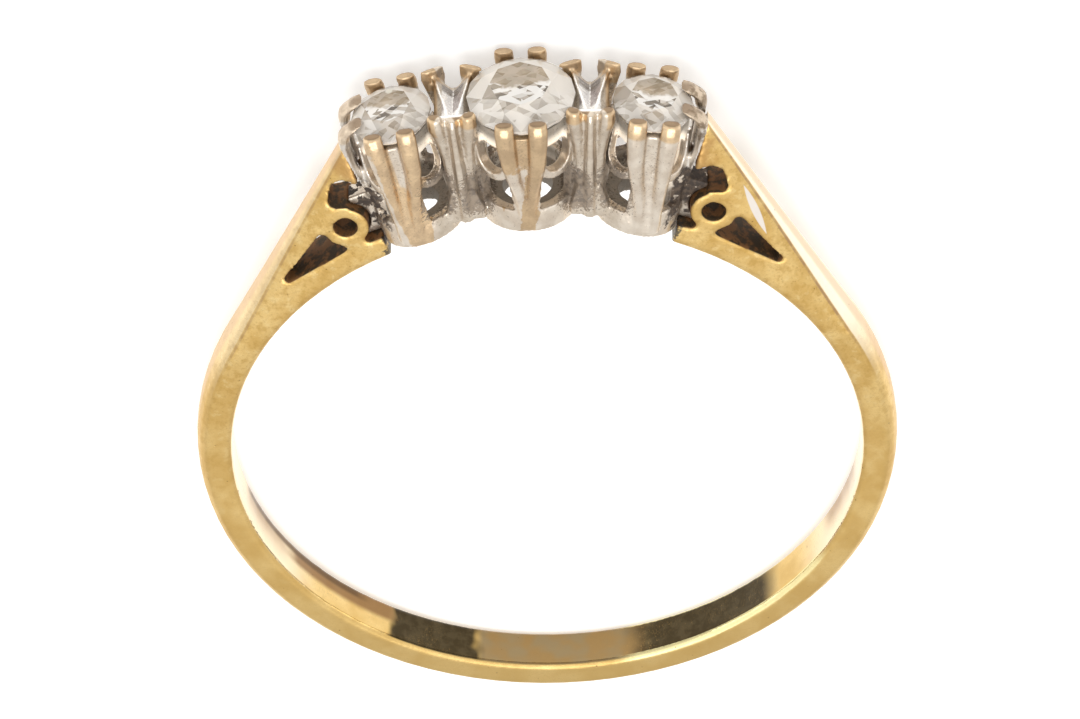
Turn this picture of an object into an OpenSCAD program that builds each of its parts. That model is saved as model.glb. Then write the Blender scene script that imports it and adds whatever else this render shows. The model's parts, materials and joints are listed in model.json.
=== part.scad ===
// Three stone ring with pierced shoulders and claw set stones.
// Every piece is drawn on the standing ring, with x across the hand, y along the finger
// and z up through the middle stone, and then laid on its side as it rests.

/* [Finger hole] */
// Inside diameter of the band
finger_d = 16.8; // [15:0.1:20]
// Width of the worn chamfer round both mouths of the finger hole
mouth_wear = 0.12; // [0.06:0.01:0.2]

/* [Band] */
// Thickness of the band from the finger hole to the crown of its outer face
band_t = 0.95; // [0.8:0.05:1.6]
// Width of the band along the finger
band_w = 1.3; // [1.1:0.05:2]
// Rise of the domed outer face over the flat sides
dome_h = 0.25; // [0.1:0.01:0.4]

/* [Shoulders] */
// Height of the shoulder tips over the finger hole
shoulder_h = 3.7; // [3.2:0.05:4.2]
// How much higher the right shoulder's tip stands
right_tip_extra = 0.25; // [0:0.05:0.3]
// Distance across the hand from the middle of a side stone to the foot of the solder seam beyond it
seam_reach = 0.28; // [0.24:0.01:0.34]
// Angle round the finger from the foot of a seam back to the tip of its shoulder
tip_back = 2.7; // [1.5:0.1:3.5]
// Lean of the seams between the shoulders and the head
seam_tilt = 15.5; // [14:0.5:17]
// Width of the outer face at the shoulder tips
tip_w = 0.5; // [0.3:0.05:0.9]
// Rise of the dome at the shoulder tips
tip_dome_h = 0.06; // [0.02:0.01:0.15]
// Radius of the round hole in each shoulder
eye_r = 0.31; // [0.2:0.01:0.35]
// Width of the scroll of metal round that hole
scroll_w = 0.31; // [0.25:0.01:0.4]
// Height of the round hole over the finger hole
eye_h = 1.42; // [1.35:0.01:1.6]
// Angle round the finger from the foot of a seam to the round hole
eye_swing = 3.4; // [2.9:0.1:4.2]
// Thickness of the rail between the finger hole and the long opening
rail_t = 0.75; // [0.6:0.05:0.8]
// Radius of the rounded ends of the long opening
slot_end_r = 0.1; // [0.08:0.01:0.16]
// Radius of the opening over the scroll
top_opening_r = 0.42; // [0.35:0.01:0.48]

/* [Stones] */
// Diameter of the middle stone
centre_stone_d = 2.8; // [2.6:0.05:3]
// Diameter of the two side stones
side_stone_d = 2.1; // [2:0.05:2.3]
// Width of each stone's table as a share of its diameter
table_share = 0.57; // [0.5:0.01:0.62]
// Slope of the main crown facets
crown_angle = 34; // [30:1:36]
// Slope of the main pavilion facets
pavilion_angle = 41; // [38:1:43]
// Thickness of each stone's girdle
girdle_t = 0.07; // [0.04:0.01:0.1]
// Gap kept between each stone and the metal
stone_gap = 0.03; // [0.02:0.01:0.06]

/* [Setting] */
// Height of the underside of the head over the finger hole
head_lift = 0.48; // [0.4:0.02:0.7]
// Height of the middle stone's girdle over the underside of the head
girdle_h = 3.6; // [3.4:0.05:3.9]
// Space between the girdles of neighbouring stones
link_w = 0.91; // [0.86:0.01:1]
// Outward lean of the side collets
side_tilt = 10; // [7:0.5:13]
// Height of the base band of each collet
base_band_h = 0.67; // [0.5:0.01:0.8]
// The same height at the back, where the lower windows are only slits
back_band_h = 1.1; // [0.9:0.01:1.2]
// Outside diameter of the middle collet's base band
centre_base_d = 2.6; // [2.4:0.05:2.8]
// Outside diameter of the side collets' base bands
side_base_d = 2.4; // [2.2:0.05:2.45]
// Diameter of the round hole under the middle stone
centre_hole_d = 1.3; // [1:0.05:1.5]
// Diameter of the round holes under the side stones
side_hole_d = 1; // [0.8:0.05:1.2]
// Wall thickness of the collets
collet_t = 0.26; // [0.2:0.01:0.3]
// Depth of the narrow ring under each girdle
bearing_h = 0.9; // [0.7:0.01:1]
// Radius of the round bottom of each upper window
window_r = 0.38; // [0.3:0.01:0.42]
// Thickness of the swag that hangs between upper and lower windows
swag_t = 0.24; // [0.16:0.01:0.28]
// Depth of the middle of the swag's curve under the girdle
swag_drop = 1.28; // [1.15:0.01:1.4]
// The same depth at the back, where the windows are shallower
back_swag_drop = 0.98; // [0.9:0.01:1.2]
// Gap of the solder seam between the head and the shoulders
seam_gap = 0.03; // [0.02:0.01:0.06]

/* [Claws] */
// Width of a claw
claw_w = 0.5; // [0.4:0.02:0.54]
// Thickness of a claw
claw_t = 0.34; // [0.28:0.02:0.4]
// Height of the claw tips over the girdle
claw_over = 0.32; // [0.26:0.01:0.4]
// Spacing of the two claws of a pair
pair_w = 0.86; // [0.78:0.02:0.92]
// Spacing of two claws where they merge at the foot of the middle pillars
foot_w = 0.16; // [0.1:0.01:0.3]
// Spacing of two claws at the foot of the broad pillars of the side collets
side_foot_w = 0.42; // [0.3:0.01:0.5]
// Shift of the feet of those broad pillars towards the shoulders
side_foot_shift = 0.22; // [0.1:0.01:0.3]
// Distance of the fluted columns from the middle of the head along the finger
column_y = 0.9; // [0.84:0.01:1]
// Spacing of the two claws at the top of a column
column_top_w = 0.92; // [0.86:0.02:1]
// Width of the back claws of the columns, which flare more
back_prong_w = 0.64; // [0.5:0.02:0.7]
// Depth of the notch between the back claws of a column under the girdle
notch_h = 0.36; // [0.3:0.01:0.5]
// Spacing of the two stems at the foot of a column
column_foot_w = 0.44; // [0.38:0.02:0.5]
// Height of the arch under each column over the underside of the head
arch_h = 0.25; // [0.1:0.01:0.4]

/* [Hidden] */

finger_r = finger_d / 2;
band_r = finger_r + band_t;
tip_r = finger_r + shoulder_h;
centre_r = centre_stone_d / 2;
side_r = side_stone_d / 2;
gold = "#d8b45c";
white_gold = "#d3c8b6";
diamond = "#e9e6df";
// Size of the solids that cut past a face
past = 1;

// Places in the head, as distances from the middle of the finger hole
base_r = finger_r + head_lift;
girdle_r = base_r + girdle_h;
side_x = centre_r + link_w + side_r;
side_z = sqrt(pow(girdle_r, 2) - pow(side_x, 2));
// The links stand a little nearer to the middle stone
link_share = 0.4;
link_x = centre_r + link_w * link_share;
link_tilt = side_tilt / 3;
link_z = sqrt(pow(girdle_r, 2) - pow(link_x, 2));

// Outermost reach of the front and back pillars of the middle collet
pillar_seat = 0.05;
pillar_bulge = 0.05;
head_half_w = centre_r + pillar_seat + pillar_bulge + claw_t / 2;

// The seams and the shoulders stand beyond the side stones
seam_x = side_x + seam_reach;
seam_z = sqrt(pow(finger_r, 2) - pow(seam_x, 2));
seam_angle = atan(seam_x / seam_z);
shoulder_angle = seam_angle - tip_back;
eye_angle = seam_angle + eye_swing;

// Height of a shoulder's tip, the right side being under half a turn
function tip_at(angle) = tip_r + (angle < 180 ? right_tip_extra : 0);

// Angle from the head at which the straight outer edge of a shoulder leaves the round band
function blend_at(angle) = shoulder_angle + acos(band_r / tip_at(angle));

function from_head(angle) = min(angle, 360 - angle);

// Tilt and lift that lay the ring on the back of its head and the far edge of its band
rest_r = band_r - dome_h;
rest_head_r = girdle_r - 0.3;
rest_tilt = atan((head_half_w - band_w / 2) / (rest_head_r + rest_r));
rest_lift = rest_r * sin(rest_tilt) + band_w / 2 * cos(rest_tilt);
rest_y = (girdle_r + crown_h(centre_stone_d) - band_r) / 2 * cos(rest_tilt);

function crown_h(d) = (1 - table_share) * d / 2 * tan(crown_angle);
function pavilion_h(d) = d / 2 * tan(pavilion_angle);
function mix(a, b, share) = a + (b - a) * share;
function polar(r, angle) = [r * sin(angle), r * cos(angle)];
function turned(p, angle) = [p.x * cos(angle) - p.y * sin(angle), p.x * sin(angle) + p.y * cos(angle)];

// A closed solid through rings of points that run counter-clockwise seen from its far end
module skin(rings) {
    n = len(rings[0]);
    last = len(rings) - 1;
    polyhedron(
        points = [for (ring = rings) each ring],
        faces = concat(
            [[for (i = [0:n - 1]) i]],
            [[for (i = [n - 1:-1:0]) last * n + i]],
            [for (k = [0:last - 1], i = [0:n - 1]) each [
                [k * n + i, (k + 1) * n + i, (k + 1) * n + (i + 1) % n],
                [k * n + i, (k + 1) * n + (i + 1) % n, k * n + (i + 1) % n]
            ]]
        )
    );
}

module both_sides() {
    children();
    mirror([1, 0, 0]) children();
}

module front_and_back() {
    children();
    mirror([0, 1, 0]) children();
}

// Lays the standing ring on its side, head towards -y, front face up
module lay_down() {
    translate([0, rest_y, rest_lift])
        rotate([-rest_tilt, 0, 0])
            rotate([0, 180, 0])
                rotate([90, 0, 0])
                    children();
}

// Shank

// Angle of the blank's ends, which run past the seams
end_angle = shoulder_angle - 3;

// Share of the way up a shoulder, 0 on the round band and 1 at the tip
function rise_share(angle) =
    max(0, (blend_at(angle) - from_head(angle)) / (blend_at(angle) - shoulder_angle));

// Crown of the outer face: a straight edge up the shoulder, tangent to the round band
function crown_r(angle) = band_r / cos(max(0, blend_at(angle) - from_head(angle)));

// Half a section of the shank, from inside the finger hole over the side to the crown
function half_section(angle) =
    let (
        share = rise_share(angle),
        top = crown_r(angle),
        rise = mix(dome_h, tip_dome_h, share),
        side = mix(band_w, tip_w, pow(share, 0.8)) / 2
    )
    [
        [finger_r - 0.4, band_w / 2],
        [finger_r + 0.25, band_w / 2],
        [mix(finger_r, top - rise, 0.75), mix(band_w / 2, side, 0.38)],
        [top - rise, side],
        [top - rise * 0.36, side * 0.76],
        [top - rise * 0.08, side * 0.38]
    ];

function section(angle) =
    let (
        half = half_section(angle),
        crown = crown_r(angle),
        outline = concat(
            half,
            [[crown, 0]],
            [for (i = [len(half) - 1:-1:0]) [half[i].x, -half[i].y]]
        )
    )
    [for (p = outline) [p.x * sin(angle), p.y, p.x * cos(angle)]];

section_count = 80;

module band_blank() {
    sweep = 360 - 2 * end_angle;
    skin([for (i = [0:section_count]) section(end_angle + sweep * i / section_count)]);
}

// All that lies on the head's side of the right seam, moved out by the given gap
module head_side(gap) {
    translate([seam_x, 0, seam_z])
        rotate([0, seam_tilt, 0])
            translate([gap - 4, -4, -2]) cube([4, 8, 8]);
}

// The finger hole with a worn chamfer at both mouths
module finger_cut() {
    rotate([90, 0, 0]) {
        cylinder(r = finger_r, h = band_w + 2 * past, center = true, $fn = 120);
        for (end = [-1, 1])
            translate([0, 0, end * (band_w / 2 - mouth_wear)])
                mirror([0, 0, end < 0 ? 1 : 0])
                    cylinder(r1 = finger_r, r2 = finger_r + past, h = past, $fn = 120);
    }
}

eye = polar(finger_r + eye_h, eye_angle);
scroll_r = eye_r + scroll_w;

// Outline of the openings of the right shoulder, in x and z
module shoulder_openings() {
    translate(eye) circle(r = eye_r, $fn = 48);
    difference() {
        union() {
            long_opening();
            top_opening();
        }
        translate(eye) circle(r = scroll_r, $fn = 48);
    }
}

// The long opening tapers away from the scroll along the rail
module long_opening() {
    hull() {
        translate(polar(finger_r + rail_t + slot_end_r + 0.08, eye_angle + 14.2))
            circle(r = slot_end_r, $fn = 32);
        translate(polar(finger_r + eye_h + 0.03, eye_angle + 4.3))
            circle(r = slot_end_r, $fn = 32);
        translate(polar(finger_r + rail_t + 0.04, eye_angle + 2.4))
            circle(r = 0.04, $fn = 32);
    }
}

// The upper opening lies over the scroll and runs down between it and the head
module top_opening() {
    hull() {
        translate(polar(finger_r + eye_h + 0.94, eye_angle - 3.3)) circle(r = top_opening_r, $fn = 48);
        translate(polar(finger_r + eye_h + 0.83, eye_angle - 1.1)) circle(r = 0.17, $fn = 32);
    }
    channel(0);
}

// The curved channel on the head's side of the scroll, drawn smaller by the given gap
module channel(gap) {
    low = finger_r + rail_t + 0.05;
    hull() {
        translate(polar(finger_r + eye_h + 0.8, shoulder_angle + 1.6)) circle(r = 0.36 - gap, $fn = 32);
        translate(polar(finger_r + eye_h + 0.8, shoulder_angle - 3)) circle(r = 0.36 - gap, $fn = 32);
        translate(polar(low, shoulder_angle + 4.2)) circle(r = 0.12 - gap, $fn = 32);
        translate(polar(low, shoulder_angle - 2)) circle(r = 0.12 - gap, $fn = 32);
    }
}

module shank() {
    color(gold)
        difference() {
            band_blank();
            finger_cut();
            both_sides() head_side(0);
            both_sides()
                rotate([90, 0, 0])
                    linear_extrude(band_w + 2 * past, center = true) shoulder_openings();
        }
}

// Setting

module at_side_stone() {
    translate([side_x, 0, side_z]) rotate([0, side_tilt, 0]) children();
}

module at_link() {
    translate([link_x, 0, link_z]) rotate([0, link_tilt, 0]) children();
}

// Shape of one window column of a collet: an open top U, a swag and a lower window
module window_shape(lower_w, drop, band_h) {
    translate([0, -drop]) circle(r = window_r, $fn = 20);
    translate([-window_r, -drop]) square([2 * window_r, drop + past]);
    difference() {
        translate([-lower_w / 2, band_h - girdle_h]) square([lower_w, girdle_h - band_h - swag_drop]);
        translate([0, -swag_drop]) circle(r = window_r + swag_t, $fn = 24);
    }
}

// Wall of a collet round the local z axis, its girdle at z = 0, with a thick pierced foot
module collet(stone_d, base_d, hole_d, windows, lower_w) {
    foot = -girdle_h - 0.5;
    neck = base_band_h - girdle_h;
    rim = -0.55;
    difference() {
        rotate_extrude($fn = 32)
            polygon([
                [hole_d / 2, foot],
                [base_d / 2 - 0.02, foot],
                [base_d / 2, neck - 0.3],
                [base_d / 2 - 0.05, neck],
                [stone_d / 2 + 0.06, rim - 0.5],
                [stone_d / 2 + 0.04, rim],
                [stone_d / 2 + 0.04 - collet_t, rim],
                [base_d / 2 - 0.05 - collet_t, neck + 0.2],
                [base_d / 2 - 0.05 - collet_t, neck - 0.05],
                [hole_d / 2, neck - 0.15]
            ]);
        for (azimuth = windows)
            rotate([90, 0, 90 + azimuth])
                translate([0, 0, 0.3])
                    linear_extrude(2)
                        if (azimuth < 180)
                            window_shape(lower_w, back_swag_drop, back_band_h);
                        else
                            window_shape(lower_w, swag_drop, base_band_h);
    }
}

// Claws and pillars from foot to tip. The columns of each row are the height share,
// the share of the way from foot to tip, the bulge share, the width share and the thickness share.
pillar_rows = [
    [0.00, 0.00, 0.0, 0.54, 0.70],
    [0.20, 0.06, 0.3, 0.58, 0.80],
    [0.36, 0.32, 0.6, 0.64, 0.90],
    [0.48, 0.56, 0.9, 0.70, 1.00],
    [0.64, 0.80, 1.0, 0.84, 1.00],
    [0.82, 0.95, 1.0, 0.96, 1.00],
    [0.93, 1.00, 0.4, 1.00, 0.95],
    [0.98, 1.00, -0.7, 0.96, 0.85],
    [1.00, 1.00, -1.3, 0.84, 0.60]
];

column_rows = [
    [0.00, 0.00, 0.0, 0.66, 0.80],
    [0.35, 0.00, 0.3, 0.60, 0.90],
    [0.60, 0.10, 0.6, 0.60, 1.00],
    [0.76, 0.40, 0.6, 0.66, 1.00],
    [0.90, 0.88, 0.0, 0.80, 0.95],
    [0.98, 1.00, -1.0, 0.76, 0.85],
    [1.00, 1.00, -1.6, 0.60, 0.60]
];

// Back claws: a narrow neck and a thin flared tip
prong_rows = [
    [0.00, 0.0, 0.0, 0.40, 1.00],
    [0.25, 0.1, 0.6, 0.42, 1.10],
    [0.50, 0.4, 1.0, 0.48, 1.10],
    [0.72, 0.8, 1.0, 0.52, 0.90],
    [0.93, 1.1, 0.9, 1.00, 0.62],
    [1.00, 1.1, 0.8, 0.92, 0.36]
];

rib_rows = [
    [0.00, 0.0, 0.0, 0.60, 0.90],
    [0.25, 0.1, 0.5, 0.52, 1.00],
    [0.50, 0.4, 1.0, 0.46, 1.00],
    [0.75, 0.8, 1.0, 0.42, 1.00],
    [0.95, 1.0, 0.6, 0.38, 0.90],
    [1.00, 1.0, 0.0, 0.32, 0.60]
];

// A rounded bar from foot to tip that faces the given azimuth
module claw(foot, tip, azimuth, rows, bulge, foot_z, width, tip_z = claw_over) {
    skin([
        for (row = rows)
            let (
                z = mix(foot_z, tip_z, row[0]),
                centre = foot + (tip - foot) * row[1] + polar(bulge * row[2], 90 - azimuth),
                half_t = claw_t / 2 * row[4],
                half_w = width / 2 * row[3]
            )
            [
                for (corner = [22.5:45:337.5])
                    let (
                        flat = [half_t * cos(corner), half_w * sin(corner)] / cos(22.5),
                        p = centre + turned(flat, azimuth)
                    )
                    [p.x, p.y, z]
            ]
    ]);
}

column_foot_z = -0.15 - girdle_h;
pillar_foot_z = 0.12 - girdle_h;

// The narrow ring under a stone's girdle, set back between the claws
module bearing(stone_d) {
    r = stone_d / 2;
    rotate_extrude($fn = 32)
        polygon([
            [r - 0.36, -bearing_h],
            [r - 0.2, -bearing_h],
            [r - 0.08, -0.02],
            [r - 0.25, -0.02]
        ]);
}

// A pair of claws that merge into one pillar, facing the given azimuth, with a web under the girdle
module pillar(reach, foot_reach, azimuth, bulge, foot = foot_w, shift = 0) {
    for (end = [-1, 1])
        claw(
            turned([foot_reach, end * foot / 2 - shift], azimuth),
            turned([reach, end * pair_w / 2], azimuth),
            azimuth, pillar_rows, bulge, pillar_foot_z, claw_w
        );
    rotate([0, 0, azimuth])
        translate([reach - 0.11, 0, -0.59]) cube([0.22, pair_w - 0.3, 0.82], center = true);
    if (foot > 0.3)
        pillar_web(foot_reach, azimuth, shift);
}

// The flat of a broad pillar between its two claws
module pillar_web(foot_reach, azimuth, shift) {
    hull() {
        rotate([0, 0, azimuth])
            translate([foot_reach - 0.02, -shift, pillar_foot_z]) cube([0.24, 0.4, 0.1], center = true);
        rotate([0, 0, azimuth])
            translate([side_r - 0.04, -shift * 0.6, -1.5]) cube([0.2, 0.3, 0.1], center = true);
    }
}

// A column between two collets: a claw for the stone on either side and a rib between their stems
module column(rows, width, crest_z) {
    for (end = [-1, 1])
        claw(
            [end * column_foot_w / 2, column_y - 0.26],
            [end * column_top_w / 2, column_y],
            90 - end * 20, rows, pillar_bulge, column_foot_z, width
        );
    claw(
        [0, column_y - 0.08], [0, column_y - 0.04],
        90, rib_rows, 0.05, column_foot_z, 0.6, crest_z
    );
    column_web(crest_z - 0.05);
}

// The wall behind the stems, wider at the top where the claws part
module column_web(top_z) {
    web_t = 0.2;
    waist_w = column_foot_w + 0.1;
    hull() {
        translate([0, column_y - 0.2, column_foot_z]) cube([waist_w, web_t, 0.2], center = true);
        translate([0, column_y - 0.16, -1.4]) cube([waist_w, web_t, 0.1], center = true);
    }
    hull() {
        translate([0, column_y - 0.16, -1.4]) cube([waist_w, web_t, 0.1], center = true);
        translate([0, column_y - 0.14, top_z]) cube([column_top_w, web_t, 0.1], center = true);
    }
}

// The block that joins the base bands of two collets behind the foot of a column
module foot_block() {
    hull() {
        translate([0, 0.56, -girdle_h - 0.1]) cube([1, 0.66, 0.2], center = true);
        translate([0, 0.6, base_band_h - girdle_h - 0.1]) cube([0.96, 0.6, 0.1], center = true);
        translate([0, 0.66, -2.35]) cube([0.6, 0.5, 0.1], center = true);
    }
}

// The bridge between two stones: two ridges that part towards the back, with a bright valley between
// them and a slope down to each stone
module bridge() {
    half_w = column_top_w / 2 + 0.04;
    top = 0.13;
    difference() {
        translate([-half_w, -column_y, -0.62]) cube([2 * half_w, 2 * column_y, 0.74]);
        hull() {
            at_end(-1) wedge(-0.03, 0, 0.03, top, 0.03);
            at_end(1) wedge(0.05 - half_w, 0, half_w - 0.05, top, 0.5);
        }
        for (side = [-1, 1])
            hull() {
                at_end(-1) wedge(side * 0.1, side * half_w, side * (half_w + 0.1), top, 0.4);
                at_end(1) wedge(side * half_w, side * half_w, side * (half_w + 0.1), top, 0.2);
            }
    }
}

// Places a thin slice at the front or the back end of the bridge
module at_end(end) {
    translate([0, end * column_y, 0]) rotate([90, 0, 0]) linear_extrude(0.02) children();
}

// A triangle that hangs from its top edge, its point at the given place and depth
module wedge(from, point, to, top, depth) {
    polygon([[from, top], [point, top - depth], [to, top]]);
}

// Room for a stone and the gap round it
module seat(stone_d) {
    reach = stone_d / 2 + stone_gap;
    table = table_share * stone_d / 2;
    rotate_extrude($fn = 32)
        polygon([
            [0, -pavilion_h(stone_d) - 2 * stone_gap],
            [reach, -girdle_t / 2 - stone_gap],
            [reach, girdle_t / 2 + stone_gap],
            [table + stone_gap, crown_h(stone_d) + girdle_t / 2 + stone_gap],
            [0, crown_h(stone_d) + past]
        ]);
}

// Solder that fills the corner between a side collet and the shoulder, and the channel by the scroll
module solder() {
    difference() {
        union() {
            solder_run([side_x - 0.1, 0.2, base_r - 0.35], 0.34, [side_x + 0.4, 0.2, base_r + 0.5], 0.3);
            solder_run([side_x + 0.4, 0.2, base_r + 0.5], 0.3, [side_x + 0.7, 0.14, base_r + 1.4], 0.24);
        }
        beyond_seam();
    }
}

// A run of solder between two beads, on both sides of the middle
module solder_run(from, from_r, to, to_r) {
    hull() {
        front_and_back() {
            translate(from) sphere(r = from_r, $fn = 12);
            translate(to) sphere(r = to_r, $fn = 12);
        }
    }
}

// What fills the channel, set back from the faces of the shoulder
module channel_solder() {
    rotate([90, 0, 0])
        linear_extrude(0.56, center = true)
            difference() {
                intersection() {
                    channel(seam_gap);
                    circle(r = finger_r + eye_h + 0.62, $fn = 72);
                }
                translate(eye) circle(r = scroll_r + seam_gap, $fn = 48);
            }
}

// All that lies past the right seam, with its gap
module beyond_seam() {
    translate([seam_x, 0, seam_z])
        rotate([0, seam_tilt, 0])
            translate([-seam_gap, -4, -2]) cube([4, 8, 8]);
}

// Keeps the head clear of the finger
module finger_room() {
    rotate([90, 0, 0]) cylinder(r = base_r, h = 6, center = true, $fn = 96);
}

module centre_collet() {
    translate([0, 0, girdle_r]) {
        collet(centre_stone_d, centre_base_d, centre_hole_d, [50, 130, 230, 310], 1);
        bearing(centre_stone_d);
        front_and_back()
            pillar(centre_r + pillar_seat, centre_base_d / 2 - 0.1, 90, pillar_bulge);
    }
}

module side_collet() {
    at_side_stone() {
        collet(side_stone_d, side_base_d, side_hole_d, [46, 132, 228, 314], 0.9);
        bearing(side_stone_d);
        front_and_back()
            pillar(
                side_r + pillar_seat, side_base_d / 2 - 0.1, 90, pillar_bulge,
                side_foot_w, side_foot_shift
            );
        pillar(side_r + pillar_seat, side_base_d / 2 - 0.1, 0, 0.26);
    }
}

// All that joins a side collet to the middle one, arched clear of the finger
module link() {
    difference() {
        at_link() {
            front_and_back() foot_block();
            column(prong_rows, back_prong_w, -notch_h);
            mirror([0, 1, 0]) column(column_rows, claw_w, claw_over - 0.12);
            bridge();
        }
        rotate([90, 0, 0]) cylinder(r = base_r + arch_h, h = 6, center = true, $fn = 72);
    }
}

module setting() {
    color(white_gold)
        difference() {
            union() {
                centre_collet();
                both_sides() {
                    difference() {
                        side_collet();
                        beyond_seam();
                    }
                    solder();
                    channel_solder();
                    link();
                }
            }
            finger_room();
            translate([0, 0, girdle_r]) seat(centre_stone_d);
            both_sides() at_side_stone() seat(side_stone_d);
        }
}

// Stones

// A round brilliant with its girdle round the origin: a table, 32 crown facets and 24 pavilion facets
module brilliant(d) {
    r = d / 2;
    table_r = table_share * r;
    star_r = mix(table_r, r, 0.45);
    lower_r = 0.22 * r;
    top_z = girdle_t / 2;
    table_z = top_z + (r - table_r) * tan(crown_angle);
    star_z = table_z - (star_r * cos(22.5) - table_r) * tan(crown_angle);
    culet_z = -top_z - pavilion_h(d);
    lower_z = -top_z - (r - lower_r * cos(22.5)) * tan(pavilion_angle);
    function spoke(radius, z, i) = [radius * cos(22.5 * i), radius * sin(22.5 * i), z];
    points = concat(
        [for (i = [0:7]) spoke(table_r, table_z, 2 * i)],
        [for (i = [0:7]) spoke(star_r, star_z, 2 * i + 1)],
        [for (i = [0:15]) spoke(r, top_z, i)],
        [for (i = [0:15]) spoke(r, -top_z, i)],
        [for (i = [0:7]) spoke(lower_r, lower_z, 2 * i + 1)],
        [[0, 0, culet_z]]
    );
    table = 0;
    star = 8;
    upper = 16;
    lower = 32;
    tail = 48;
    culet = 56;
    faces = concat(
        [[for (i = [7:-1:0]) table + i]],
        [for (i = [0:7]) let (j = (i + 1) % 8) each [
            [table + i, table + j, star + i],
            [star + i, upper + 2 * j, upper + 2 * i + 1],
            [star + i, upper + 2 * i + 1, upper + 2 * i],
            [table + j, star + j, upper + 2 * j, star + i],
            [tail + i, lower + 2 * i + 1, lower + 2 * j],
            [tail + i, lower + 2 * i, lower + 2 * i + 1],
            [culet, tail + i, lower + 2 * j, tail + j]
        ]],
        [for (i = [0:15]) let (j = (i + 1) % 16) [upper + i, upper + j, lower + j, lower + i]]
    );
    polyhedron(points = points, faces = faces);
}

module centre_stone() {
    color(diamond) translate([0, 0, girdle_r]) brilliant(centre_stone_d);
}

module right_stone() {
    color(diamond) at_side_stone() brilliant(side_stone_d);
}

module left_stone() {
    color(diamond) mirror([1, 0, 0]) at_side_stone() brilliant(side_stone_d);
}

lay_down() shank();
lay_down() setting();
lay_down() centre_stone();
lay_down() left_stone();
lay_down() right_stone();
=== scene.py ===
"""A three stone ring laid on its side: worn yellow gold, plated white gold and clear stones."""

import math

import bpy
import json
from mathutils import Matrix, Vector


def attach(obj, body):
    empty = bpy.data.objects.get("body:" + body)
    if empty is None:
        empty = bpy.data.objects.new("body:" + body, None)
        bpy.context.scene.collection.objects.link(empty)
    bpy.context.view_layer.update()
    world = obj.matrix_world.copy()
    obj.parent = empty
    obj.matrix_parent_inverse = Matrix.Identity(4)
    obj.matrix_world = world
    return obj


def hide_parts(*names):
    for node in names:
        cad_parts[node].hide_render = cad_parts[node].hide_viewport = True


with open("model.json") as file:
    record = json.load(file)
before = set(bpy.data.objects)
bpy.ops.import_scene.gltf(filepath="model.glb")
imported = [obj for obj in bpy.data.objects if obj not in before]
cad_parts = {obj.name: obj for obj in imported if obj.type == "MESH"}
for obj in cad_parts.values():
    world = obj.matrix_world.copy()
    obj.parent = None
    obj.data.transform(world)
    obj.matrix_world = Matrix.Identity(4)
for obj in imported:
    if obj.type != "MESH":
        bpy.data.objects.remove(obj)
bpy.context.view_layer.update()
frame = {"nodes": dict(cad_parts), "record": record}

MM = 0.001

# The ring's own directions: across the hand, along the finger and up to the middle stone
bore = frame["record"]["mounts"][0]
MIDDLE = Vector(bore["pos_m"])
ALONG = -Vector(bore["axis"]).normalized()
ACROSS = Vector((-1, 0, 0))
UP = ACROSS.cross(ALONG)
STANDING = Matrix((ACROSS, ALONG, UP)).transposed()

# Sizes of the standing ring in millimetres
FINGER_R = 8.4
BAND_R = 9.35
DOME_H = 0.25
TIP_DOME_H = 0.06
TIP_ANGLE = 23
BLEND_ANGLE = 62.4
RIGHT_BLEND_EXTRA = 1.4
SEAM_X, SEAM_Z, SEAM_SLOPE = 3.64, 7.57, 0.277
FILED_X, FILED_Z, FILED_TILT = 5.61, 9.22, math.radians(18)
LINK_X = 1.76
CONE_H = 2.35

# Each collet: its place across and up, its lean, its stone's radius and its foot's radius
COLLETS = [(0, 12.48, 0.0, 1.4, 1.3), (3.36, 12.02, math.radians(10), 1.05, 1.2)]


def on_ring(x, y, z):
    """A place on the standing ring, in the frame that everything is modelled in."""
    return MIDDLE + STANDING @ Vector((x, y, z)) * MM


# Camera


def set_camera():
    """The photo's camera: it looks down over the head and sees the ring upright."""
    look_down, lean, swing = math.radians(45.78), math.radians(-3.1), math.radians(0.395)
    distance, aim_right, aim_up = 200, -0.195, 2.04
    lens = Matrix.Rotation(swing, 3, "Z") @ Matrix.Rotation(lean, 3, "Y")
    from_photo = STANDING @ lens.inverted()
    right = from_photo @ Vector((1, 0, 0))
    top = from_photo @ Vector((0, math.sin(look_down), math.cos(look_down)))
    eye = MIDDLE + from_photo @ Vector((0, -math.cos(look_down), math.sin(look_down))) * distance * MM
    aim = MIDDLE + (right * aim_right + top * aim_up) * MM
    back = (eye - aim).normalized()
    right = top.cross(back).normalized()
    top = back.cross(right)
    camera = bpy.data.objects.new("camera", bpy.data.cameras.new("camera"))
    bpy.context.scene.collection.objects.link(camera)
    camera.matrix_world = Matrix.Translation(eye) @ Matrix((right, top, back)).transposed().to_4x4()
    camera.data.sensor_width = 36
    camera.data.lens = 249.4
    camera.data.clip_start = 0.01
    bpy.context.scene.camera = camera


# Shader tools


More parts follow.
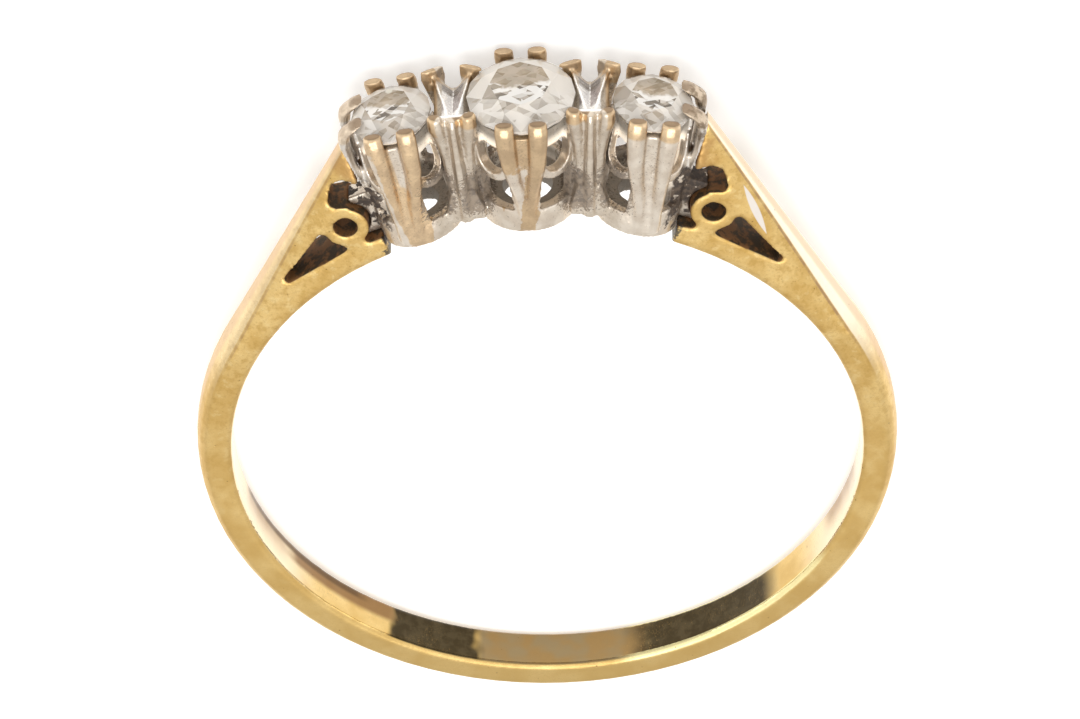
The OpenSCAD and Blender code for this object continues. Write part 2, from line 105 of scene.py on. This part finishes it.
class Tone:
    """A value or colour over a surface, for plain arithmetic."""

    def __init__(self, finish, socket):
        self.finish = finish
        self.socket = socket

    def math(self, operation, *others):
        return self.finish.node("Math", {"operation": operation}, [self, *others])

    def __add__(self, other):
        return self.math("ADD", other)

    __radd__ = __add__

    def __sub__(self, other):
        return self.math("SUBTRACT", other)

    def __rsub__(self, other):
        return self.finish.node("Math", {"operation": "SUBTRACT"}, [other, self])

    def __mul__(self, other):
        return self.math("MULTIPLY", other)

    __rmul__ = __mul__

    def __truediv__(self, other):
        return self.math("DIVIDE", other)

    def __rtruediv__(self, other):
        return self.finish.node("Math", {"operation": "DIVIDE"}, [other, self])

    def __abs__(self):
        return self.math("ABSOLUTE")

    def over(self, low, high):
        """Rises smoothly from 0 at low to 1 at high."""
        settings = {"interpolation_type": "SMOOTHSTEP"}
        return self.finish.node("MapRange", settings, {"Value": self, "From Min": low, "From Max": high})

    def under(self, low, high):
        """Falls smoothly from 1 at low to 0 at high."""
        return 1 - self.over(low, high)

    def near(self, value, half_width, soft):
        """1 near a value, falling to 0 past the half width."""
        return abs(self - value).under(half_width, half_width + soft)


class Finish:
    """A material and its nodes."""

    def __init__(self, name):
        self.material = bpy.data.materials.new(name)
        self.material.use_nodes = True
        self.nodes = self.material.node_tree.nodes
        self.links = self.material.node_tree.links
        self.nodes.clear()
        self.output = self.nodes.new("ShaderNodeOutputMaterial")

    def node(self, kind, settings=None, inputs=None, output=0):
        """One node of any kind. Settings come first, then the values or links of its sockets."""
        node = self.nodes.new("ShaderNode" + kind)
        for name, value in (settings or {}).items():
            if name == "stops":
                ramp = node.color_ramp.elements
                while len(ramp) < len(value):
                    ramp.new(0.5)
                for stop, (place, colour) in zip(ramp, value):
                    stop.position = place
                    stop.color = (*colour, 1)
            else:
                setattr(node, name, value)
        pairs = inputs.items() if isinstance(inputs, dict) else enumerate(inputs or [])
        for key, value in pairs:
            socket = node.inputs[key]
            if isinstance(value, Tone):
                self.links.new(value.socket, socket)
            elif isinstance(value, tuple) and len(value) == 3 and socket.type == "RGBA":
                socket.default_value = (*value, 1)
            else:
                socket.default_value = value
        return Tone(self, node.outputs[output])

    def place(self):
        """Places on the standing ring in millimetres."""
        coordinates = self.node("TexCoord", output=3)
        turn = STANDING.to_euler()
        return self.node(
            "Mapping",
            {"vector_type": "TEXTURE"},
            {"Vector": coordinates, "Location": MIDDLE, "Rotation": turn, "Scale": (MM, MM, MM)},
        )

    def facing(self, direction):
        """How much the surface faces a direction of the standing ring, from -1 to 1."""
        normal = self.node("TexCoord", output=1)
        return self.node("VectorMath", {"operation": "DOT_PRODUCT"}, [normal, tuple(direction)], output=1)

    def parts(self, place):
        """The three coordinates of a place."""
        return [self.node("SeparateXYZ", inputs=[place], output=i) for i in range(3)]

    def noise(self, place, scale, detail=3.0, rough=0.55, stretch=None):
        if stretch:
            place = self.node("Mapping", inputs={"Vector": place, "Scale": stretch})
        return self.node(
            "TexNoise", inputs={"Vector": place, "Scale": scale, "Detail": detail, "Roughness": rough}
        )

    def cells(self, place, scale, output=0):
        return self.node("TexVoronoi", inputs={"Vector": place, "Scale": scale}, output=output)

    def blend(self, share, first, second, way="MIX"):
        """Two colours, mixed by a share."""
        settings = {"data_type": "RGBA", "blend_type": way}
        return self.node("Mix", settings, {0: share, 6: first, 7: second}, 2)

    def bump(self, height, strength, distance):
        return self.node("Bump", inputs={"Strength": strength, "Distance": distance, "Height": height})

    def surface(self, **sockets):
        """A Principled surface with these sockets, on the material's output."""
        names = {name.replace("_", " "): value for name, value in sockets.items()}
        shader = self.node("BsdfPrincipled", inputs=names)
        self.links.new(shader.socket, self.output.inputs["Surface"])
        return self.material


def largest(first, *others):
    for other in others:
        first = first.math("MAXIMUM", other)
    return first


# Finishes


def worn_yellow_gold():
    """Satin sides with pits and hairlines, a mirror bore with painted reflections in pale, tan and dark
    stretches, painted highlights and shade on the shoulders' dome and the bore's mouth, and tarnished
    holes.
    """
    gold = Finish("worn_yellow_gold")
    place = gold.place()
    x, y, z = gold.parts(place)
    along = gold.facing(ALONG)
    radius = (x * x + z * z).math("SQRT")
    angle = x.math("ARCTAN2", z) * (180 / math.pi)
    turn = abs(angle)
    side = abs(along).over(0.5, 0.9)
    right = x.over(-0.1, 0.1)
    bend = BLEND_ANGLE + right * RIGHT_BLEND_EXTRA
    rise = ((bend - turn) / (bend - TIP_ANGLE)).over(-0.2, 1.2)
    lean = (bend - turn).math("MAXIMUM", 0.0) * (math.pi / 180)
    crown = BAND_R / lean.math("COSINE")
    margin = rise * (0.08 - right * 0.05)
    crease = crown - (DOME_H - rise * (DOME_H - TIP_DOME_H)) - margin

    cloud = gold.noise(place, 0.9, 2)
    patch = gold.noise(place, 3.2, 3, 0.6)
    fine = gold.noise(place, 14, 3, 0.65)
    pits = gold.cells(place, 5).under(0.06, 0.14) * patch.over(0.52, 0.6)
    hairs = gold.noise(place, 5, 1, 0.5, (1, 1, 8)).near(0.5, 0.003, 0.01) * cloud.over(0.45, 0.58)

    colour = gold.blend(cloud.over(0.35, 0.65), (0.62, 0.41, 0.14), (0.74, 0.53, 0.22))
    mottled = turn.under(60, 110) * 0.75 + 0.25
    colour = gold.blend(patch.over(0.48, 0.66) * mottled * 0.55, colour, (0.50, 0.31, 0.085))
    colour = gold.blend(patch.under(0.34, 0.44) * mottled * 0.4, colour, (0.82, 0.64, 0.32))
    colour = gold.blend(fine.over(0.5, 0.72) * mottled * 0.45, colour, (0.44, 0.27, 0.085))
    # The sides turn darker brown towards the bottom of the band
    colour = gold.blend(turn.over(95, 160) * side * 0.5, colour, (0.50, 0.35, 0.135))

    # The mirror bore, with painted reflections: pale sides with brown far edges, and dark stretches either
    # side of a tan middle
    warped = angle + (cloud - 0.5) * 6
    bore = radius.under(FINGER_R + 0.02, FINGER_R + 0.05) * side.under(0.2, 0.6)
    dark_reflection = largest(warped.near(-155.5, 8, 2), warped.near(151.5, 12, 6))
    tan = (180 - turn).under(15, 17)
    brown_reflection = warped.near(-134, 11, 5) * y.over(-0.15, 0.1)
    far_end_reflection = turn.near(111, 6, 4) * y.over(-0.5, 0.4)
    edge_reflection = warped.near(-122, 16, 4) * y.over(0.22, 0.36)
    colour = gold.blend(bore * turn.under(118, 130) * 0.75, colour, (0.92, 0.80, 0.60))
    colour = gold.blend(bore * far_end_reflection * (cloud + 0.4), colour, (0.42, 0.28, 0.16))
    colour = gold.blend(bore * brown_reflection * 0.92, colour, (0.25, 0.135, 0.055))
    colour = gold.blend(bore * edge_reflection * 0.9, colour, (0.13, 0.075, 0.035))
    middle = gold.blend(cloud.over(0.4, 0.6), (0.245, 0.18, 0.095), (0.265, 0.165, 0.065))
    olive = gold.blend(patch.over(0.4, 0.65), (0.028, 0.021, 0.012), (0.052, 0.040, 0.023))
    colour = gold.blend(bore * tan * 0.95, colour, middle)
    colour = gold.blend(bore * dark_reflection * 0.96, colour, olive)

    # Painted highlight: a bright line along the mouth of the bore at the lower right, where the edge is
    # rubbed
    mouth_highlight = radius.near(FINGER_R + 0.09, 0.07, 0.03) * abs(along).near(0.6, 0.3, 0.1)
    mouth_highlight = mouth_highlight * angle.near(145, 20, 6)
    colour = gold.blend(mouth_highlight * 0.8, colour, (0.98, 0.88, 0.48))

    # Tarnish on the walls of the piercings
    walls = turn.under(44, 46) * (radius - FINGER_R).over(0.35, 0.45) * (crown - radius).over(0.3, 0.4)
    walls = walls * abs(along).under(0.45, 0.75)
    rust = gold.blend(patch.over(0.42, 0.58), (0.022, 0.010, 0.004), (0.17, 0.070, 0.020))
    colour = gold.blend(walls * 0.96, colour, rust)

    # Dirt in the pits and the seam; painted shade along the shoulder's crease and the dome's outer rim; a
    # painted highlight on the bright strip; and the filed sliver, painted pale grey as its reflection
    # Painted highlight: the pale strip of the dome outside the crease
    strip_highlight = (radius - crease).over(0.02, 0.06) * turn.under(58, 78)
    # Painted shade: a thin dark line along the crease, broken in places
    crease_shade = (radius - crease).near(0.0, 0.014, 0.03) * turn.under(58, 72)
    crease_shade = crease_shade * (0.5 + patch.over(0.42, 0.55) * 0.5)
    # Painted shade: a tan band along the dome's outer rim
    rim_shade = (crown - radius).under(0.01, 0.04) * turn.under(75, 95)
    inward = abs(x) - (z - SEAM_Z) * SEAM_SLOPE - SEAM_X
    seam = (inward + (patch - 0.5) * 0.8).under(0.03, 0.12) * z.under(9.8, 10.4)
    seam = seam * fine.over(0.3, 0.45)
    stain = (inward + (cloud - 0.5) * 1.5).under(0.25, 0.6) * (z + (patch - 0.5) * 2).near(10.45, 0.35, 0.3)
    # A filed sliver on the right shoulder, painted pale grey as its reflection
    filed_x = x - FILED_X
    filed_z = z - FILED_Z
    aside = filed_x * math.cos(FILED_TILT) + filed_z * math.sin(FILED_TILT)
    reach = (filed_x * math.sin(FILED_TILT) - filed_z * math.cos(FILED_TILT) - 0.75) / 0.85
    filed_reflection = (abs(aside) + reach * reach * 0.09).under(0.08, 0.105) * along.under(-0.8, -0.6)
    colour = gold.blend(stain * 0.55, colour, (0.42, 0.22, 0.08))
    colour = gold.blend(strip_highlight * (0.25 + right * 0.5), colour, (1.0, 0.94, 0.80))
    colour = gold.blend(rim_shade * 0.7, colour, (0.70, 0.50, 0.31))
    colour = gold.blend(crease_shade * (0.5 + right * 0.3), colour, (0.40, 0.25, 0.14))
    colour = gold.blend(pits * 0.7, colour, (0.17, 0.10, 0.035))
    colour = gold.blend(hairs * 0.45, colour, (0.33, 0.20, 0.07))
    colour = gold.blend(seam * 0.9, colour, (0.030, 0.024, 0.018))
    colour = gold.blend(filed_reflection * 0.9, colour, (0.68, 0.64, 0.61))

    height = fine * 0.5 - pits * 1.5
    return gold.surface(
        Base_Color=colour,
        Metallic=1 - largest(walls, seam, filed_reflection, strip_highlight * right * 0.8) * 0.8,
        Roughness=0.40 + patch * 0.12 - bore * 0.36 + walls * 0.2,
        Normal=gold.bump(height * (1 - bore * 0.9), 0.3, 0.00004),
    )


def plated_white_gold():
    """Warm white plating, worn through to tan metal on the claws, grimy and with painted shade in the
    corners; painted light, shade and reflections on the claws' tops, the links and the insides of the
    collets.
    """
    white = Finish("plated_white_gold")
    place = white.place()
    x, y, z = white.parts(place)
    across, along, up = [white.facing(direction) for direction in (ACROSS, ALONG, UP)]
    cloud = white.noise(place, 2.2, 3)
    ragged = (white.noise(place, 3.5, 4, 0.6) - 0.5) * 0.9
    fine = white.noise(place, 7, 3, 0.6)
    speckle = white.noise(place, 15, 2, 0.7)
    # Ambient occlusion, which paints shade into the corners below
    corner = white.node("AmbientOcclusion", {"samples": 2, "only_local": True}, {"Distance": 0.0006}, 1)

    # Inside of the collets, just under each stone and low in each foot, and the claws' tips
    tips = 0.0
    inside = 0.0
    shade_under_stone = 0.0
    low = 0.0
    for centre_x, centre_z, tilt, stone_r, base_r in COLLETS:
        out = abs(x) - centre_x if centre_x else x
        level = z - centre_z
        local_x = out * math.cos(tilt) - level * math.sin(tilt)
        height = out * math.sin(tilt) + level * math.cos(tilt)
        reach = (local_x * local_x + y * y).math("SQRT")
        wall = height * ((stone_r - base_r + 0.09) / CONE_H) + (stone_r - 0.2)
        ring = reach.under(stone_r - 0.06, stone_r - 0.02) * height.over(-0.9, -0.8)
        hollow = largest(reach.under(wall, wall + 0.04), ring) * height.under(-0.12, -0.02)
        web = abs(local_x).under(0.3, 0.36) * y.under(-0.6, -0.5) * height.over(-1.6, -1.5)
        hollow = hollow * (1 - web)
        belongs = reach.under(stone_r + 0.5, stone_r + 0.55)
        inside = hollow.math("MAXIMUM", inside)
        shade_under_stone = (hollow * height.over(-0.8, -0.4)).math("MAXIMUM", shade_under_stone)
        low = (hollow * height.under(-2.7, -2.2)).math("MAXIMUM", low)
        tip = height.over(-0.2, -0.1) * belongs * reach.over(stone_r - 0.4, stone_r - 0.3)
        tips = tip.math("MAXIMUM", tips)
    between = abs(abs(x) - LINK_X)
    link = between.under(0.34, 0.44) * abs(y).under(0.72, 0.8) * z.over(11.2, 11.4)
    column = between.under(0.5, 0.65) * (abs(y) - 0.6).over(0.0, 0.1)
    flank = abs(x).over(3.95, 4.15) * (z + ragged * 0.4).over(9.8, 10.2)
    back = y.over(0.4, 0.7)

    # Plating: warm white, darker in patches on the columns
    colour = white.blend(cloud.over(0.3, 0.7), (0.78, 0.70, 0.60), (0.64, 0.55, 0.45))
    colour = white.blend(column * fine.over(0.3, 0.6) * 0.45, colour, (0.50, 0.42, 0.32))
    colour = white.blend(speckle.over(0.56, 0.68) * cloud.over(0.45, 0.6) * 0.2, colour, (0.30, 0.24, 0.18))

    # Worn through to tan: every claw, the left pillar's claws and foot, the middle pillar's right stem
    front = y.under(-0.85, -0.75)
    left_line = (x + z * 0.143 + 1.553) / (z * 0.11 - 0.60)
    left_groove = (left_line + 0.05).near(0.0, 0.2, 0.1) * (z + ragged).over(10.3, 10.6)
    left_pillar = (abs(left_line) + ragged * 0.5).under(0.92, 1.0) * (1 - left_groove)
    claws = abs(x).under(0.8, 0.85) * (z + ragged * 0.9).over(11.2, 11.35)
    stem = (x - z * 0.13 + 1.22 + ragged * 0.4).near(0.05, 0.2, 0.04) * z.under(11.8, 12)
    worn = largest(left_pillar, claws, stem) * front
    flecks = (ragged + cloud).over(0.86, 0.88) * z.under(9.8, 10)
    worn = largest(worn, tips * (1 - link) * (1 - flank * 0.6), flecks)
    tan = white.blend((cloud + speckle * 0.4).over(0.5, 0.85), (0.74, 0.54, 0.32), (0.56, 0.40, 0.24))
    colour = white.blend(worn * 0.9, colour, tan)
    colour = white.blend(worn * front * abs(x).under(0.8, 0.9) * 0.3, colour, (0.40, 0.28, 0.16))

    # Tops of the claws: painted dark reflections in brown on faces that look up, and painted brown shade on
    # faces that look back; ends of the claws: brown film
    tops = tips * (1 - link)
    colour = white.blend(tops * up.over(0.72, 0.9) * (0.8 - back * 0.4), colour, (0.20, 0.135, 0.085))
    colour = white.blend(tops * along.over(0.2, 0.6) * 0.6, colour, (0.22, 0.15, 0.10))
    colour = white.blend(flank * (1 - tips) * 0.7, colour, (0.86, 0.82, 0.77))
    ends = (abs(x) + ragged * 0.8).over(4.25, 4.4) * z.over(11, 11.3) * (0.35 + x.over(-0.1, 0.1) * 0.65)
    colour = white.blend(ends * (0.2 + fine.over(0.4, 0.6) * 0.6), colour, (0.19, 0.135, 0.085))

    # Links: painted light and shade on the facets, by the way each faces: bright lower facets, dark upper
    # ones, pale ridges
    link_facet_light = white.blend(across.over(-0.1, 0.1), (0.36, 0.31, 0.30), (0.98, 0.97, 0.96))
    link_facet_light = white.blend(y.under(-0.45, -0.3), link_facet_light, (0.95, 0.93, 0.90))
    link_facet_light = white.blend((y + ragged * 0.5).over(0.3, 0.5) * 0.85, link_facet_light, (0.13, 0.10, 0.08))
    link_facet_light = white.blend(between.under(0.25, 0.3), (0.45, 0.38, 0.30), link_facet_light)
    colour = white.blend(link * 0.9, colour, link_facet_light)
    colour = white.blend(link * up.over(0.9, 0.97) * 0.9, colour, (0.97, 0.94, 0.90))

    # Grime, with painted shade: ambient occlusion thickens it in the corners, and it thins out into dots
    # away from the hollows, the corners and the feet of the columns
    waist = between.near(0.5, 0.2, 0.45) * z.near(9.95, 0.3, 0.75)
    amount = largest(corner.under(0.2, 0.75) * (0.6 - inside * 0.3), waist * 0.95, inside * 0.1)
    amount = amount * (1 - tips * 0.7) * (1 - link) * (1 - flank * 0.7)
    grime_and_corner_shade = (speckle + fine * 0.2 + amount * 0.48).over(0.75, 0.88)
    mud = white.blend(fine.over(0.35, 0.6), (0.075, 0.052, 0.036), (0.24, 0.185, 0.135))
    deep_shade = white.blend(fine.over(0.3, 0.7), (0.035, 0.024, 0.014), (0.105, 0.075, 0.050))
    # Painted light: the insides of the collets are made paler, to lift the shade inside them
    colour = white.blend(inside * 0.75, colour, (0.92, 0.84, 0.72))
    colour = white.blend(grime_and_corner_shade * 0.85, colour, mud)
    # Painted shade: dark brown just under each stone and low inside each foot
    colour = white.blend(largest(shade_under_stone * 0.75, low * 0.8), colour, deep_shade)

    # Dark solder along the seams, with bright patches
    seam = abs(x) - (z - SEAM_Z) * SEAM_SLOPE - SEAM_X
    solder = (seam + ragged * 0.6).over(-0.55, -0.4) * (z + ragged * 0.6).under(9.95, 10.1)
    patches = (z + ragged * 1.2).under(8.6, 8.8) * cloud.over(0.45, 0.5)
    bare = largest((ragged + x.under(-0.1, 0.1) * 0.1).over(0.09, 0.12), patches)
    ash = white.blend(fine.over(0.42, 0.6), (0.030, 0.018, 0.013), (0.095, 0.064, 0.042))
    colour = white.blend(solder * (1 - bare) * 0.97, colour, ash)

    # Painted light: the insides of the collets glow, standing in for light let down through the stones
    glow = inside * (1 - grime_and_corner_shade * 0.6) * (1 - shade_under_stone * 0.8) * (1 - low * 0.95)
    lit = white.blend(glow, (0, 0, 0), (0.90, 0.79, 0.65))

    soiled = largest(grime_and_corner_shade, inside, shade_under_stone, low, solder * (1 - bare))
    return white.surface(
        Base_Color=colour,
        Metallic=1 - largest(soiled * 0.8, link * 0.75),
        Roughness=0.26 + fine * 0.22 + soiled * 0.3 - link * 0.1,
        Emission_Color=lit,
        Emission_Strength=0.42,
        Normal=white.bump(fine * (1 - column * 0.7) + speckle * 0.25, 0.3, 0.00004),
    )


def clear_stone(name, side):
    """A champagne stone: a warm grey table, painted reflections as bright and dark slivers before it, and
    pale crown facets with painted light and shade.
    """
    stone = Finish(name)
    place = stone.place()
    x, y, z = stone.parts(place)
    across, along, up = [stone.facing(direction) for direction in (ACROSS, ALONG, UP)]
    centre_x, centre_z, tilt, stone_r, _ = COLLETS[abs(side)]
    tilt = side * tilt
    level = across * math.sin(tilt) + up * math.cos(tilt)
    table = level.over(0.97, 0.985)
    local_x = ((x - side * centre_x) * math.cos(tilt) - (z - centre_z) * math.sin(tilt)) / stone_r
    toward = y * (-1 / stone_r)
    facet_shading = stone.noise(stone.node("CombineXYZ", inputs=[across, along, up]), 7, 0)
    cloud = stone.noise(place, 2.5, 3)

    # Painted reflections as slivers: random cells drawn out to both sides, that cross in the front half
    def drawn_out(way):
        angle = math.radians(27) * way
        far = (local_x * math.cos(angle) + toward * math.sin(angle)) * 2.6
        near = (toward * math.cos(angle) - local_x * math.sin(angle)) * 9
        cell = stone.node("CombineXYZ", inputs=[far, near, side * 3.7 + way])
        return stone.parts(stone.cells(cell, 1.0, output=1))[0]

    shades = [
        (0.22, (0.12, 0.095, 0.07)),
        (0.34, (0.42, 0.36, 0.28)),
        (0.42, (0.66, 0.61, 0.55)),
        (0.49, (1.0, 0.98, 0.95)),
    ]
    sliver_reflections = stone.node("ValToRGB", {"stops": shades}, [drawn_out(1) * 0.5 + drawn_out(-1) * 0.5])
    bent = toward + local_x * local_x * 0.3 + (cloud - 0.5) * 0.5
    grey = stone.blend(cloud.over(0.35, 0.65), (0.30, 0.22, 0.12), (0.46, 0.35, 0.22))
    grey = stone.blend(stone.cells(place, 1.3).under(0.1, 0.16), grey, (0.86, 0.80, 0.64))
    colour = stone.blend(bent.over(0.0, 0.12), stone.blend(0.2, grey, sliver_reflections), sliver_reflections)
    # Painted light and shade on the crown: each facet pale or darker by the way it faces, with some slivers
    crown = stone.blend(facet_shading.over(0.38, 0.5), (0.47, 0.40, 0.32), (0.90, 0.84, 0.76))
    crown = stone.blend(bent.over(0.2, 0.6) * 0.4, crown, sliver_reflections)
    colour = stone.blend(table, crown, colour)
    return stone.surface(
        Base_Color=colour,
        Roughness=0.02,
        IOR=1.6,
        Transmission_Weight=0.4,
    )


def lit_table():
    """The pale floor, lit a little from below as a product table is."""
    paper = Finish("lit_table")
    place = paper.node("TexCoord", output=3)
    tone = paper.blend(paper.noise(place, 60).over(0.3, 0.7), (0.76, 0.76, 0.76), (0.73, 0.73, 0.73))
    return paper.surface(
        Base_Color=tone, Roughness=0.9, Emission_Color=(1.0, 0.995, 0.985), Emission_Strength=0.42
    )


# Modelling


def only(piece):
    """Selects this piece alone."""
    bpy.ops.object.select_all(action="DESELECT")
    piece.select_set(True)
    bpy.context.view_layer.objects.active = piece


def soften(node, name, voxel, rounds, kept):
    """A copy of a CAD node in one even skin, with the soft worn edges of cast metal."""
    piece = bpy.data.objects.new(name, frame["nodes"][node].data.copy())
    bpy.context.scene.collection.objects.link(piece)
    piece.data.materials.clear()
    only(piece)
    bpy.ops.object.mode_set(mode="EDIT")
    bpy.ops.mesh.select_all(action="SELECT")
    bpy.ops.mesh.remove_doubles(threshold=0.000001)
    bpy.ops.object.mode_set(mode="OBJECT")
    piece.data.transform(Matrix.Scale(1 / MM, 4))
    skin = piece.modifiers.new("skin", "REMESH")
    skin.mode = "VOXEL"
    skin.voxel_size = voxel
    bpy.ops.object.modifier_apply(modifier=skin.name)
    smooth = piece.modifiers.new("smooth", "SMOOTH")
    smooth.factor = 0.5
    smooth.iterations = rounds
    bpy.ops.object.modifier_apply(modifier=smooth.name)
    thin = piece.modifiers.new("thin", "DECIMATE")
    thin.ratio = kept
    bpy.ops.object.modifier_apply(modifier=thin.name)
    piece.data.transform(Matrix.Scale(MM, 4))
    bpy.ops.object.shade_smooth()
    return piece


def build_ring():
    shank = soften("shank", "worn_shank", 0.06, 3, 0.6)
    shank.data.materials.append(worn_yellow_gold())
    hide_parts("shank")
    setting = soften("setting", "worn_setting", 0.04, 2, 0.48)
    setting.data.materials.append(plated_white_gold())
    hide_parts("setting")
    for piece in (shank, setting):
        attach(piece, "root")
    for name, side in (("left_stone", -1), ("centre_stone", 0), ("right_stone", 1)):
        finish = clear_stone("clear_" + name, side)
        for slot in frame["nodes"][name].material_slots:
            slot.material = finish


# Studio


def set_studio():
    bpy.ops.object.select_all(action="DESELECT")
    bpy.ops.mesh.primitive_plane_add(size=2)
    floor = bpy.context.active_object
    floor.name = "floor"
    floor.data.materials.append(lit_table())

    world = bpy.data.worlds.new("studio")
    world.use_nodes = True
    world.node_tree.nodes["Background"].inputs["Color"].default_value = (1, 0.99, 0.97, 1)
    world.node_tree.nodes["Background"].inputs["Strength"].default_value = 0.9
    bpy.context.scene.world = world

    def lamp(name, place, size, power):
        light = bpy.data.lights.new(name, "AREA")
        light.size = size * MM
        light.energy = power
        piece = bpy.data.objects.new(name, light)
        piece.location = on_ring(*place)
        piece.rotation_euler = (on_ring(0, 0, 4) - piece.location).to_track_quat("-Z", "Y").to_euler()
        bpy.context.scene.collection.objects.link(piece)

    lamp("overhead", (0, -160, 30), 120, 0.14)
    lamp("left", (-140, -60, 60), 80, 0.02)
    lamp("right", (140, -60, 40), 80, 0.02)
    bpy.context.scene.view_settings.view_transform = "Standard"


set_camera()
build_ring()
set_studio()
